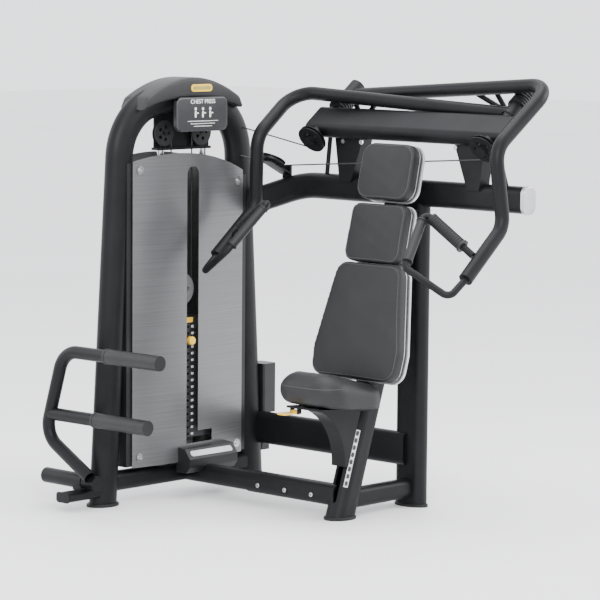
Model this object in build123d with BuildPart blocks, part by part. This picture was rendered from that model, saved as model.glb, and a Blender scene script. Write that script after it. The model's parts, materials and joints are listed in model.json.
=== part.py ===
"""Incline chest press machine with a selectorised weight stack.

Millimetres, +Z up. The user sits facing -Y and the weight tower stands on the user's right, at -X.
Places are given in the layout frame, which starts at the floor under the tower's front foot.
"""
from build123d import *
from math import acos, atan2, cos, hypot, pi, radians, sin, tan
import os

os.makedirs("parts", exist_ok=True)

# ---- layout: the part's origin is on the floor under the middle of the whole machine ----
CENTRE_X = 572.5
CENTRE_Y = 362.0
SEAT_X = 745.0            # mid-plane of the seat, the back pads and the two arms
TUBE_WALL = 3.0
FLOOR_GAP = 10.0          # thickness of a foot under its tube

# ---- weight tower ----
LEG_WIDTH = 80.0          # across the tower, along X
LEG_DEPTH = 108.0         # along Y
TOWER_MID_Y = 355.0
LEG_FOOT_OFFSET = 367.0   # leg centre from the tower's middle, at the floor
SHOULDER_OFFSET = 283.0
SHOULDER_Z = 1364.0
SHOULDER_RADIUS = 205.0
CROWN_Z = 1424.0
CROWN_RADIUS = 420.0

SHIELD_EDGE_X = 46.0      # where the bowed shields start, from the tower's mid-plane
SHIELD_BOW = 24.0
SHIELD_HALF_WIDTH = 272.0
SHIELD_THICKNESS = 2.5
SHIELD_BOTTOM_Z = 125.0
SLOT_WIDTH = 58.0
STACK_X = 10.0            # the weight stack hangs a little towards the user

PLATE_LENGTH = 290.0
PLATE_DEPTH = 76.0
PLATE_PITCH = 24.0
PLATE_THICKNESS = 23.0
PLATE_COUNT = 18
LIFTED_COUNT = 3          # plates the selector pin picks up, under the top plate
STACK_BOTTOM_Z = 205.0
ROD_SPACING = 210.0
ROD_RADIUS = 12.5
STEM_RADIUS = 11.0
CABLE_RADIUS = 2.5
LIFT_PULLEY_RADIUS = 51.0

# ---- ground frame ----
BEAM_Z = 80.0
BEAM_HEIGHT = 68.0
BEAM_WIDTH = 60.0
SEAT_BEAM_Y = 392.0
REAR_POST_Y = 766.0
REAR_POST_WIDTH = 120.0
REAR_POST_DEPTH = 64.0
UPPER_BEAM_Z = 1096.0
UPPER_BEAM_Y = 762.0
UPPER_BEAM_END_X = 1240.0
LOWER_BEAM_Y = 742.0
LOWER_BEAM_Z = 201.0

# ---- seat post and back rest ----
POST_FOOT_Y = 393.0
POST_LEAN = 18.34
POST_WIDTH = 80.0
POST_DEPTH = 100.0
BACK_LEAN = 13.5
BACK_BASE = (440.0, 481.0)   # Y and Z of the back pads' front face at its lower edge
PAD_THICKNESS = 50.0
SHELL_THICKNESS = 6.0
SEAT_TILT = 12.0

# ---- press arms ----
PIVOT_OFFSET = 390.0      # pivot axis from the mid-plane, along X
PIVOT_Y = 735.0
PIVOT_Z = 1325.0
ARM_RADIUS = 24.0
ARM_WALL = 3.0
SHAFT_RADIUS = 15.0
BEARING_CLEARANCE = 0.05
CROSSBAR_HALF_LENGTH = 439.0
CROSSBAR_DEPTH = 128.0
CROSSBAR_HEIGHT = 58.0
HUB_LEVEL = {"right": 96.0, "left": 160.0}     # where each top tube meets its hub, up the pivot axis
CORNER_LEVEL = {"right": 68.0, "left": 160.0}  # where each top tube turns down, at its far end
DRUM_LEVEL = {"right": (124.0, 184.0), "left": (72.0, 130.0)}
CAM_LEVEL = -94.0
CAM_CABLE_RADIUS = 47.0

# ---- foot lever ----
PEDAL_AXIS_Y = -103.0
PEDAL_AXIS_Z = 96.0
PEDAL_TUBE_RADIUS = 22.5
PEDAL_GRIP_RADIUS = 26.0


def at(x, y, z):
    """A layout point in the part's own frame."""
    return Vector(x - CENTRE_X, y - CENTRE_Y, z)


def leaning(degrees_back, y, z, x=SEAT_X):
    """A plane at a layout point: its X is the machine's X and its normal leans back from vertical."""
    base = Plane(origin=at(x, y, z), x_dir=(1, 0, 0), z_dir=(0, 0, 1))
    return base.rotated((-degrees_back, 0, 0))


def pivot_plane(x, level=0.0):
    """A plane across an arm's pivot axis, level millimetres up the axis; its Y is the pressing way."""
    axis = Vector(0, 0.8, 0.6)
    origin = at(x, PIVOT_Y, PIVOT_Z) + axis * level
    return Plane(origin=origin, x_dir=(-1, 0, 0), z_dir=axis)


def straight_tube(plane, length, width, height, radius, wall=TUBE_WALL):
    """A hollow rounded-rectangle tube along a plane's normal."""
    with BuildPart() as tube:
        with BuildSketch(plane):
            RectangleRounded(width, height, radius)
            RectangleRounded(width - 2 * wall, height - 2 * wall, radius - wall, mode=Mode.SUBTRACT)
        extrude(amount=length)
    return tube.part


def bar(plane, length, width, height, radius):
    """A solid rounded-rectangle bar along a plane's normal: the outer form of a tube."""
    with BuildPart() as solid:
        with BuildSketch(plane):
            RectangleRounded(width, height, radius)
        extrude(amount=length)
    return solid.part


def round_bar(start, end, radius, bore=0.0):
    """A round bar or tube between two points."""
    with BuildPart() as solid:
        with BuildSketch(Plane(origin=start, z_dir=end - start)):
            Circle(radius)
            if bore:
                Circle(bore, mode=Mode.SUBTRACT)
        extrude(amount=(end - start).length)
    return solid.part


def bent_tube(points, radii, radius, wall=0.0):
    """A round tube along straight runs joined by arcs; solid when no wall is given."""
    with BuildPart() as tube:
        with BuildLine() as route:
            FilletPolyline(*points, radius=radii)
        with BuildSketch(Plane(origin=route.line @ 0, z_dir=route.line % 0)):
            Circle(radius)
            if wall:
                Circle(radius - wall, mode=Mode.SUBTRACT)
        sweep()
    return tube.part


# ======================= outer forms that neighbours are coped against =======================

def tower_arch_form(inset):
    """The tower's arch, filled, with its section drawn in by inset."""
    points = [
        at(0, TOWER_MID_Y - LEG_FOOT_OFFSET - 1, -20),
        at(0, TOWER_MID_Y - SHOULDER_OFFSET, SHOULDER_Z),
        at(0, TOWER_MID_Y, CROWN_Z),
        at(0, TOWER_MID_Y + SHOULDER_OFFSET, SHOULDER_Z),
        at(0, TOWER_MID_Y + LEG_FOOT_OFFSET + 1, -20),
    ]
    radii = [SHOULDER_RADIUS, CROWN_RADIUS, SHOULDER_RADIUS]
    with BuildPart() as arch:
        with BuildLine() as route:
            FilletPolyline(*points, radius=radii)
        with BuildSketch(Plane(origin=route.line @ 0, x_dir=(1, 0, 0), z_dir=route.line % 0)):
            Ellipse(LEG_WIDTH / 2 - inset, LEG_DEPTH / 2 - inset)
        sweep()
    return arch.part


TOWER_FORM = tower_arch_form(0)
TOWER_BORE = tower_arch_form(TUBE_WALL)

UPPER_BEAM_ROUTE = [at(UPPER_BEAM_END_X, UPPER_BEAM_Y, UPPER_BEAM_Z),
                    at(225, UPPER_BEAM_Y, UPPER_BEAM_Z), at(0, 668, 1012)]


def upper_beam_form(inset):
    """The bent upper beam, filled, with its section drawn in by inset."""
    with BuildPart() as beam:
        with BuildLine() as route:
            FilletPolyline(*UPPER_BEAM_ROUTE, radius=[260])
        with BuildSketch(Plane(origin=route.line @ 0, x_dir=(0, 1, 0), z_dir=route.line % 0)):
            RectangleRounded(60 - 2 * inset, 92 - 2 * inset, 27 - inset)
        sweep()
    return beam.part


UPPER_BEAM_FORM = upper_beam_form(0)
REAR_POST_FORM = bar(Plane(at(SEAT_X, REAR_POST_Y, 0)), 1060, REAR_POST_WIDTH, REAR_POST_DEPTH, 30)
POST_PLANE = leaning(POST_LEAN, POST_FOOT_Y, 0)
SEAT_POST_FORM = bar(POST_PLANE.offset(-40), 1240, POST_WIDTH, POST_DEPTH, 34)
CROSSBAR_PLANE = Plane(origin=at(SEAT_X - CROSSBAR_HALF_LENGTH, PIVOT_Y, PIVOT_Z),
                       x_dir=(0, 0.8, 0.6), z_dir=(1, 0, 0))
CROSSBAR_FORM = bar(CROSSBAR_PLANE, 2 * CROSSBAR_HALF_LENGTH, CROSSBAR_DEPTH, CROSSBAR_HEIGHT, 24)

# ======================================= weight tower =======================================

with BuildPart() as tower_arch:
    add(TOWER_FORM)
    add(TOWER_BORE, mode=Mode.SUBTRACT)
    split(bisect_by=Plane.XY.offset(FLOOR_GAP), keep=Keep.TOP)
tower_arch.part.label = "tower_arch"
export_step(tower_arch.part, "parts/tower_arch.step")

HOOD_HALF_WIDTH = 54.0
with BuildPart() as tower_hood:
    with BuildSketch(Plane(origin=at(-HOOD_HALF_WIDTH, 0, 0), x_dir=(0, 1, 0), z_dir=(1, 0, 0))):
        with BuildLine():
            hood_left = (TOWER_MID_Y - 222, 1418)
            hood_right = (TOWER_MID_Y + 232, 1412)
            ThreePointArc(hood_left, (TOWER_MID_Y, 1482), hood_right)
            ThreePointArc(hood_right, (TOWER_MID_Y, 1398), hood_left)
        make_face()
    extrude(amount=2 * HOOD_HALF_WIDTH + 18)
    fillet(tower_hood.edges().filter_by(GeomType.CIRCLE).sort_by(Axis.Z)[-2:], 14)
    add(TOWER_FORM, mode=Mode.SUBTRACT)
tower_hood.part.label = "tower_hood"
export_step(tower_hood.part, "parts/tower_hood.step")

PANEL_X = 58.0
PANEL_MID_Y = TOWER_MID_Y + 40
PANEL_LENGTH = 252.0
with BuildPart() as instruction_panel:
    with BuildSketch(Plane(origin=at(PANEL_X, PANEL_MID_Y, 1352), x_dir=(0, 1, 0), z_dir=(1, 0, 0))):
        RectangleRounded(PANEL_LENGTH, 122, 26)
    extrude(amount=18)
    fillet(instruction_panel.faces().sort_by(Axis.X)[-1].edges(), 7)
    add(tower_hood.part, mode=Mode.SUBTRACT)
instruction_panel.part.label = "instruction_panel"
export_step(instruction_panel.part, "parts/instruction_panel.step")


def shield_blank(side):
    """A bowed sheet-metal shield with an arched top; side is 1 towards the user and -1 away."""
    inner, outer = [
        [(side * (SHIELD_EDGE_X + skin), -SHIELD_HALF_WIDTH), (side * (SHIELD_EDGE_X + SHIELD_BOW + skin), 0),
         (side * (SHIELD_EDGE_X + skin), SHIELD_HALF_WIDTH)]
        for skin in (0, SHIELD_THICKNESS)
    ]
    with BuildPart() as sheet:
        with BuildSketch(Plane(at(0, TOWER_MID_Y, SHIELD_BOTTOM_Z))):
            with BuildLine():
                ThreePointArc(*inner)
                Line(inner[2], outer[2])
                ThreePointArc(*reversed(outer))
                Line(outer[0], inner[0])
            make_face()
        extrude(amount=1300)
        with BuildSketch(Plane(origin=at(-200, 0, 0), x_dir=(0, 1, 0), z_dir=(1, 0, 0))):
            with BuildLine():
                front = (TOWER_MID_Y - 300, 1186)
                crown = (TOWER_MID_Y - 15, 1217)
                rear = (TOWER_MID_Y + 300, 1132)
                ThreePointArc(front, crown, rear)
                Polyline(rear, (rear[0], 50), (front[0], 50), front)
            make_face()
        extrude(amount=400, mode=Mode.INTERSECT)
    return sheet.part


SLOT_Y = TOWER_MID_Y - 2
with BuildPart() as front_shield:
    add(shield_blank(1))
    with BuildSketch(Plane(origin=at(0, SLOT_Y, 0), x_dir=(0, 1, 0), z_dir=(1, 0, 0))):
        with Locations((0, (1170 + 188) / 2)):
            SlotOverall(1170 - 188, SLOT_WIDTH, rotation=90)
        with Locations((0, 215)):
            Rectangle(SLOT_WIDTH, 54)
        with Locations((60, 209)):
            Rectangle(84, 42)
    extrude(amount=200, mode=Mode.SUBTRACT)
front_shield.part.label = "front_shield"
export_step(front_shield.part, "parts/front_shield.step")

with BuildPart() as rear_shield:
    add(shield_blank(-1))
rear_shield.part.label = "rear_shield"
export_step(rear_shield.part, "parts/rear_shield.step")

SCREW_RADIUS = 15.0
with BuildPart() as shield_screws:
    for screw_y, screw_z in [(-242, 1165), (242, 1108), (-242, 160), (242, 160)]:
        for side in (1, -1):
            bow_here = SHIELD_BOW * (1 - (screw_y / SHIELD_HALF_WIDTH) ** 2)
            seat = at(side * (SHIELD_EDGE_X + bow_here + 2), TOWER_MID_Y + screw_y, screw_z)
            with BuildSketch(Plane(origin=seat, x_dir=(0, 1, 0), z_dir=(side, 0, 0))):
                Circle(SCREW_RADIUS)
            extrude(amount=3)
            with BuildSketch(Plane(origin=seat, x_dir=(0, 1, 0), z_dir=(side, 0, 0)).offset(3)):
                Circle(8)
                RegularPolygon(4, 6, mode=Mode.SUBTRACT)
            extrude(amount=4)
    add(front_shield.part, mode=Mode.SUBTRACT)
    add(rear_shield.part, mode=Mode.SUBTRACT)
shield_screws.part.label = "shield_screws"
export_step(shield_screws.part, "parts/shield_screws.step")

LINER_LENGTH = 70.0
LINER_WIDTH = 84.0
with BuildPart() as shield_liners:
    for side in (-1, 1):
        middle = at(0, TOWER_MID_Y + side * 260, SHIELD_BOTTOM_Z + 4)
        with BuildSketch(Plane(middle)):
            Rectangle(LINER_WIDTH, LINER_LENGTH)
            with Locations((0, -side * 3)):
                Rectangle(LINER_WIDTH - 6, LINER_LENGTH, mode=Mode.SUBTRACT)
        extrude(amount=1060 if side < 0 else 1000)
    add(TOWER_FORM, mode=Mode.SUBTRACT)
shield_liners.part.label = "shield_liners"
export_step(shield_liners.part, "parts/shield_liners.step")

# ---- weight stack, guide rods and top pulleys ----
ROD_PLACES = [(STACK_X, TOWER_MID_Y - ROD_SPACING / 2), (STACK_X, TOWER_MID_Y + ROD_SPACING / 2)]
ROD_TOP_Z = 1236.0
with BuildPart() as guide_rods:
    for rod_x, rod_y in ROD_PLACES:
        with BuildSketch(Plane(at(rod_x, rod_y, BEAM_Z + 34))):
            Circle(ROD_RADIUS)
        extrude(amount=ROD_TOP_Z - BEAM_Z - 34)
guide_rods.part.label = "guide_rods"
export_step(guide_rods.part, "parts/guide_rods.step")


def weight_plate(bottom):
    """One plate with its rod holes, stem hole and the cross hole for the selector pin."""
    with BuildPart() as plate:
        with BuildSketch(Plane(at(STACK_X, TOWER_MID_Y, bottom))):
            RectangleRounded(PLATE_DEPTH, PLATE_LENGTH, 6)
            with Locations((0, -ROD_SPACING / 2), (0, ROD_SPACING / 2)):
                Circle(ROD_RADIUS + 1.5, mode=Mode.SUBTRACT)
            Circle(STEM_RADIUS + 1.5, mode=Mode.SUBTRACT)
        extrude(amount=PLATE_THICKNESS)
        with BuildSketch(Plane(origin=at(STACK_X, TOWER_MID_Y, bottom + PLATE_THICKNESS / 2),
                               x_dir=(0, 1, 0), z_dir=(1, 0, 0))):
            Circle(5.4)
        extrude(amount=PLATE_DEPTH, mode=Mode.SUBTRACT)
    return plate.part


PLATE_BOTTOMS = [STACK_BOTTOM_Z + PLATE_PITCH * index for index in range(PLATE_COUNT)]
with BuildPart() as resting_plates:
    for bottom in PLATE_BOTTOMS[:-1 - LIFTED_COUNT]:
        add(weight_plate(bottom))
resting_plates.part.label = "resting_plates"
export_step(resting_plates.part, "parts/resting_plates.step")

with BuildPart() as lifted_plates:
    for bottom in PLATE_BOTTOMS[-1 - LIFTED_COUNT:-1]:
        add(weight_plate(bottom))
lifted_plates.part.label = "lifted_plates"
export_step(lifted_plates.part, "parts/lifted_plates.step")

TOP_PLATE_Z = PLATE_BOTTOMS[-1] + PLATE_THICKNESS
with BuildPart() as stack_top_plate:
    add(weight_plate(PLATE_BOTTOMS[-1]))
    with BuildSketch(Plane(at(STACK_X, TOWER_MID_Y, TOP_PLATE_Z))):
        with Locations((0, -ROD_SPACING / 2), (0, ROD_SPACING / 2)):
            Circle(ROD_RADIUS + 9)
            Circle(ROD_RADIUS + 0.4, mode=Mode.SUBTRACT)
    extrude(amount=46)
stack_top_plate.part.label = "stack_top_plate"
export_step(stack_top_plate.part, "parts/stack_top_plate.step")

LIFT_PULLEY_Z = 732.0
AXLE_RADIUS = 6.0
with BuildPart() as selector_stem:
    with BuildSketch(Plane(at(STACK_X, TOWER_MID_Y, PLATE_BOTTOMS[1]))):
        Circle(STEM_RADIUS)
    extrude(amount=TOP_PLATE_Z + 6 - PLATE_BOTTOMS[1])
    for bottom in PLATE_BOTTOMS[1:]:
        with BuildSketch(Plane(origin=at(STACK_X - 20, TOWER_MID_Y, bottom + PLATE_THICKNESS / 2),
                               x_dir=(0, 1, 0), z_dir=(1, 0, 0))):
            Circle(5.4)
        extrude(amount=40, mode=Mode.SUBTRACT)
    with BuildSketch(Plane(at(STACK_X, TOWER_MID_Y, TOP_PLATE_Z))):
        Rectangle(34, 44)
    extrude(amount=6)
    for cheek_x in (-17, 12):
        with BuildSketch(Plane(origin=at(STACK_X + cheek_x, TOWER_MID_Y, TOP_PLATE_Z + 6),
                               x_dir=(0, 1, 0), z_dir=(1, 0, 0))):
            with Locations((0, (LIFT_PULLEY_Z - TOP_PLATE_Z + 12) / 2)):
                RectangleRounded(30, LIFT_PULLEY_Z - TOP_PLATE_Z + 12, 3)
        extrude(amount=5)
    add(round_bar(at(STACK_X - 17, TOWER_MID_Y, LIFT_PULLEY_Z), at(STACK_X + 17, TOWER_MID_Y, LIFT_PULLEY_Z),
                  AXLE_RADIUS))
selector_stem.part.label = "selector_stem"
export_step(selector_stem.part, "parts/selector_stem.step")

PIN_Z = PLATE_BOTTOMS[-1 - LIFTED_COUNT] + PLATE_THICKNESS / 2
KNOB_RADIUS = 15.0
with BuildPart() as selector_pin:
    with BuildSketch(Plane(origin=at(STACK_X - 8, TOWER_MID_Y, PIN_Z), x_dir=(0, 1, 0), z_dir=(1, 0, 0))):
        Circle(4.9)
    extrude(amount=PLATE_DEPTH / 2 + 14)
    with BuildSketch(Plane(origin=at(STACK_X + PLATE_DEPTH / 2 + 2, TOWER_MID_Y, PIN_Z),
                           x_dir=(0, 1, 0), z_dir=(1, 0, 0))):
        Circle(9)
    extrude(amount=6)
    with BuildSketch(Plane(origin=at(STACK_X + PLATE_DEPTH / 2 + 8, TOWER_MID_Y, PIN_Z),
                           x_dir=(0, 1, 0), z_dir=(1, 0, 0))):
        Circle(KNOB_RADIUS)
    extrude(amount=18)
    fillet(selector_pin.faces().sort_by(Axis.X)[-1].edges(), 5)
selector_pin.part.label = "selector_pin"
export_step(selector_pin.part, "parts/selector_pin.step")

with BuildPart() as stack_bumpers:
    for rod_x, rod_y in ROD_PLACES:
        with BuildSketch(Plane(at(rod_x, rod_y, BEAM_Z + 34))):
            Circle(30)
            Circle(ROD_RADIUS, mode=Mode.SUBTRACT)
        extrude(amount=STACK_BOTTOM_Z - BEAM_Z - 34)
stack_bumpers.part.label = "stack_bumpers"
export_step(stack_bumpers.part, "parts/stack_bumpers.step")


def pulley(plane, cable_radius, bore, half_width=7.0):
    """A grooved pulley about a plane's normal, with its groove just under the cable."""
    rim = cable_radius + 6
    floor = cable_radius - CABLE_RADIUS - 0.4
    section = Plane(origin=plane.origin, x_dir=plane.x_dir, z_dir=-plane.y_dir)
    with BuildPart() as wheel:
        with BuildSketch(section):
            with BuildLine():
                Polyline((bore, -half_width), (rim, -half_width), (rim, -4.5), (floor, -3.1), (floor, 3.1),
                         (rim, 4.5), (rim, half_width), (bore, half_width), close=True)
            make_face()
        revolve(axis=Axis(plane.origin, plane.z_dir))
        with BuildSketch(plane.offset(-half_width)):
            with PolarLocations(cable_radius * 0.56, 5):
                Circle(cable_radius * 0.16)
        extrude(amount=2 * half_width, mode=Mode.SUBTRACT)
    return wheel.part


FRONT_SPAN_Y = TOWER_MID_Y - LIFT_PULLEY_RADIUS
REAR_SPAN_Y = TOWER_MID_Y + LIFT_PULLEY_RADIUS
TOP_PULLEYS = {"top_front_pulley": (FRONT_SPAN_Y - 40, 1286, 40), "top_rear_pulley": (REAR_SPAN_Y + 42, 1286, 42)}
for pulley_name, (pulley_y, pulley_z, cable_radius) in TOP_PULLEYS.items():
    with BuildPart() as top_pulley:
        add(pulley(Plane(origin=at(STACK_X, pulley_y, pulley_z), x_dir=(0, 1, 0), z_dir=(1, 0, 0)),
                   cable_radius, AXLE_RADIUS + BEARING_CLEARANCE))
    top_pulley.part.label = pulley_name
    export_step(top_pulley.part, f"parts/{pulley_name}.step")

with BuildPart() as lift_pulley:
    add(pulley(Plane(origin=at(STACK_X, TOWER_MID_Y, LIFT_PULLEY_Z), x_dir=(0, 1, 0), z_dir=(1, 0, 0)),
               LIFT_PULLEY_RADIUS, AXLE_RADIUS + BEARING_CLEARANCE))
lift_pulley.part.label = "lift_pulley"
export_step(lift_pulley.part, "parts/lift_pulley.step")

with BuildPart() as head_bracket:
    with BuildSketch(Plane(origin=at(STACK_X - 14, 0, 0), x_dir=(0, 1, 0), z_dir=(1, 0, 0))):
        with BuildLine():
            Polyline((TOWER_MID_Y - 125, 1395), (TOWER_MID_Y + 145, 1395), (TOWER_MID_Y + 145, ROD_TOP_Z - 8),
                     (TOWER_MID_Y - 125, ROD_TOP_Z - 8), close=True)
        make_face()
    extrude(amount=5)
    with BuildSketch(Plane(at(STACK_X, TOWER_MID_Y, ROD_TOP_Z - 8))):
        RectangleRounded(50, ROD_SPACING + 50, 12)
        with Locations((0, -ROD_SPACING / 2), (0, ROD_SPACING / 2)):
            Circle(ROD_RADIUS, mode=Mode.SUBTRACT)
        with Locations((0, -LIFT_PULLEY_RADIUS), (0, LIFT_PULLEY_RADIUS)):
            Circle(8, mode=Mode.SUBTRACT)
    extrude(amount=8)
    add(guide_rods.part, mode=Mode.SUBTRACT)
    for pulley_y, pulley_z, cable_radius in TOP_PULLEYS.values():
        add(round_bar(at(STACK_X - 12, pulley_y, pulley_z), at(STACK_X + 11, pulley_y, pulley_z), AXLE_RADIUS))
    add(TOWER_FORM, mode=Mode.SUBTRACT)
head_bracket.part.label = "head_bracket"
export_step(head_bracket.part, "parts/head_bracket.step")

CABLE_TOP_Z = 1286.0
with BuildPart() as stack_cable:
    for span_y in (FRONT_SPAN_Y, REAR_SPAN_Y):
        with BuildSketch(Plane(at(STACK_X, span_y, LIFT_PULLEY_Z))):
            Circle(CABLE_RADIUS)
        extrude(amount=CABLE_TOP_Z - LIFT_PULLEY_Z)
stack_cable.part.label = "stack_cable"
export_step(stack_cable.part, "parts/stack_cable.step")

# ======================================= ground frame =======================================

BEAM_SECTION_RADIUS = 22.0
FRONT_STUB_Y = -196.0
STUB_HEIGHT = 32.0
with BuildPart() as tower_ground_beam:
    beam_start = Plane(origin=at(0, 20, BEAM_Z), x_dir=(1, 0, 0), z_dir=(0, 1, 0))
    add(straight_tube(beam_start, TOWER_MID_Y + LEG_FOOT_OFFSET - 20, BEAM_WIDTH, BEAM_HEIGHT,
                      BEAM_SECTION_RADIUS))
    stub_start = Plane(origin=at(0, FRONT_STUB_Y, 50), x_dir=(1, 0, 0), z_dir=(0, 1, 0))
    add(straight_tube(stub_start, -FRONT_STUB_Y, BEAM_WIDTH, STUB_HEIGHT, 10))
    add(TOWER_FORM, mode=Mode.SUBTRACT)
    with BuildSketch(stub_start.offset(-5)):
        RectangleRounded(BEAM_WIDTH + 4, STUB_HEIGHT + 4, 11)
    extrude(amount=5)
tower_ground_beam.part.label = "tower_ground_beam"
export_step(tower_ground_beam.part, "parts/tower_ground_beam.step")

GROUND_BEAM_FORM = bar(Plane(origin=at(0, 20, BEAM_Z), x_dir=(1, 0, 0), z_dir=(0, 1, 0)), 700,
                       BEAM_WIDTH, BEAM_HEIGHT, BEAM_SECTION_RADIUS)
SLEEVE_START_X = 330.0
with BuildPart() as seat_ground_beam:
    seat_beam_plane = Plane(origin=at(0, SEAT_BEAM_Y, BEAM_Z), x_dir=(0, 1, 0), z_dir=(1, 0, 0))
    add(straight_tube(seat_beam_plane, SEAT_X, BEAM_WIDTH, BEAM_HEIGHT, BEAM_SECTION_RADIUS))
    add(straight_tube(seat_beam_plane.offset(SLEEVE_START_X), SEAT_X - SLEEVE_START_X, BEAM_WIDTH + 6,
                      BEAM_HEIGHT + 6, BEAM_SECTION_RADIUS + 3))
    add(GROUND_BEAM_FORM, mode=Mode.SUBTRACT)
    add(SEAT_POST_FORM, mode=Mode.SUBTRACT)
    chunk = seat_ground_beam.part.solids().sort_by(SortBy.VOLUME)[-1]
    add(chunk, mode=Mode.REPLACE)
seat_ground_beam.part.label = "seat_ground_beam"
export_step(seat_ground_beam.part, "parts/seat_ground_beam.step")

with BuildPart() as ground_beam_bolts:
    for bolt_x in (392, 520, 645):
        head = at(bolt_x, SEAT_BEAM_Y - BEAM_WIDTH / 2 - 3, BEAM_Z - 6)
        with BuildSketch(Plane(origin=head, x_dir=(1, 0, 0), z_dir=(0, -1, 0))):
            Circle(8)
            RegularPolygon(3.4, 6, mode=Mode.SUBTRACT)
        extrude(amount=5)
    fillet(ground_beam_bolts.faces().sort_by(Axis.Y)[:3].edges().filter_by(GeomType.CIRCLE), 2)
ground_beam_bolts.part.label = "ground_beam_bolts"
export_step(ground_beam_bolts.part, "parts/ground_beam_bolts.step")

with BuildPart() as rear_ground_beam:
    rear_start = Plane(origin=at(SEAT_X, POST_FOOT_Y, 64), x_dir=(1, 0, 0), z_dir=(0, 1, 0))
    add(straight_tube(rear_start, REAR_POST_Y - POST_FOOT_Y, 56, BEAM_HEIGHT, BEAM_SECTION_RADIUS))
    add(SEAT_POST_FORM, mode=Mode.SUBTRACT)
    add(REAR_POST_FORM, mode=Mode.SUBTRACT)
    chunk = rear_ground_beam.part.solids().sort_by(SortBy.VOLUME)[-1]
    add(chunk, mode=Mode.REPLACE)
rear_ground_beam.part.label = "rear_ground_beam"
export_step(rear_ground_beam.part, "parts/rear_ground_beam.step")

with BuildPart() as lower_beam:
    lower_start = Plane(origin=at(0, LOWER_BEAM_Y, LOWER_BEAM_Z), x_dir=(0, 1, 0), z_dir=(1, 0, 0))
    add(straight_tube(lower_start, SEAT_X, 48, 117, 22))
    add(TOWER_FORM, mode=Mode.SUBTRACT)
    add(REAR_POST_FORM, mode=Mode.SUBTRACT)
    chunk = lower_beam.part.solids().sort_by(SortBy.VOLUME)[-1]
    add(chunk, mode=Mode.REPLACE)
lower_beam.part.label = "lower_beam"
export_step(lower_beam.part, "parts/lower_beam.step")

CORNER_AXIS = Vector(0, 0.44, 0.898)
CORNER_CENTRE = at(165, 650, 1185)
CORNER_PLANE = Plane(origin=CORNER_CENTRE, x_dir=(1, 0, 0), z_dir=CORNER_AXIS)
CORNER_CABLE_RADIUS = 47.0
with BuildPart() as upper_beam:
    add(UPPER_BEAM_FORM)
    add(upper_beam_form(TUBE_WALL), mode=Mode.SUBTRACT)
    with BuildSketch(CORNER_PLANE.offset(-14)):
        with Locations((0, 40)):
            RectangleRounded(56, 130, 20)
    extrude(amount=5)
    with BuildSketch(Plane(at(165, 735, 1090))):
        Rectangle(40, 8)
    extrude(amount=72)
    add(round_bar(CORNER_CENTRE - CORNER_AXIS * 12, CORNER_CENTRE + CORNER_AXIS * 11, AXLE_RADIUS))
    add(upper_beam_form(TUBE_WALL), mode=Mode.SUBTRACT)
    add(TOWER_FORM, mode=Mode.SUBTRACT)
    chunk = upper_beam.part.solids().sort_by(SortBy.VOLUME)[-1]
    add(chunk, mode=Mode.REPLACE)
upper_beam.part.label = "upper_beam"
export_step(upper_beam.part, "parts/upper_beam.step")

with BuildPart() as corner_pulley:
    add(pulley(CORNER_PLANE, CORNER_CABLE_RADIUS, AXLE_RADIUS + BEARING_CLEARANCE))
corner_pulley.part.label = "corner_pulley"
export_step(corner_pulley.part, "parts/corner_pulley.step")

with BuildPart() as upper_beam_cap:
    cap_plane = Plane(origin=at(UPPER_BEAM_END_X, UPPER_BEAM_Y, UPPER_BEAM_Z), x_dir=(0, 1, 0), z_dir=(1, 0, 0))
    with BuildSketch(cap_plane):
        RectangleRounded(66, 98, 30)
    extrude(amount=16)
    fillet(upper_beam_cap.faces().sort_by(Axis.X)[-1].edges(), 6)
upper_beam_cap.part.label = "upper_beam_cap"
export_step(upper_beam_cap.part, "parts/upper_beam_cap.step")

with BuildPart() as rear_post:
    add(straight_tube(Plane(at(SEAT_X, REAR_POST_Y, FLOOR_GAP)), UPPER_BEAM_Z - FLOOR_GAP, REAR_POST_WIDTH,
                      REAR_POST_DEPTH, 30))
    add(UPPER_BEAM_FORM, mode=Mode.SUBTRACT)
    chunk = rear_post.part.solids().sort_by(SortBy.VOLUME)[-1]
    add(chunk, mode=Mode.REPLACE)
rear_post.part.label = "rear_post"
export_step(rear_post.part, "parts/rear_post.step")

POST_SLOT_WIDTH = 22.0
POST_SLOT = (45.0, 335.0)
with BuildPart() as seat_post:
    add(straight_tube(POST_PLANE.offset(-40), 1240, POST_WIDTH, POST_DEPTH, 34))
    with BuildSketch(Plane(origin=POST_PLANE.origin, x_dir=(1, 0, 0), z_dir=-POST_PLANE.y_dir)):
        with Locations((0, (POST_SLOT[0] + POST_SLOT[1]) / 2)):
            SlotOverall(POST_SLOT[1] - POST_SLOT[0], POST_SLOT_WIDTH, rotation=90)
    extrude(amount=POST_DEPTH, mode=Mode.SUBTRACT)
    split(bisect_by=Plane.XY.offset(FLOOR_GAP), keep=Keep.TOP)
    split(bisect_by=Plane.XY.offset(1040), keep=Keep.BOTTOM)
    add(REAR_POST_FORM, mode=Mode.SUBTRACT)
    add(UPPER_BEAM_FORM, mode=Mode.SUBTRACT)
    chunk = seat_post.part.solids().sort_by(SortBy.VOLUME)[-1]
    add(chunk, mode=Mode.REPLACE)
seat_post.part.label = "seat_post"
export_step(seat_post.part, "parts/seat_post.step")

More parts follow.
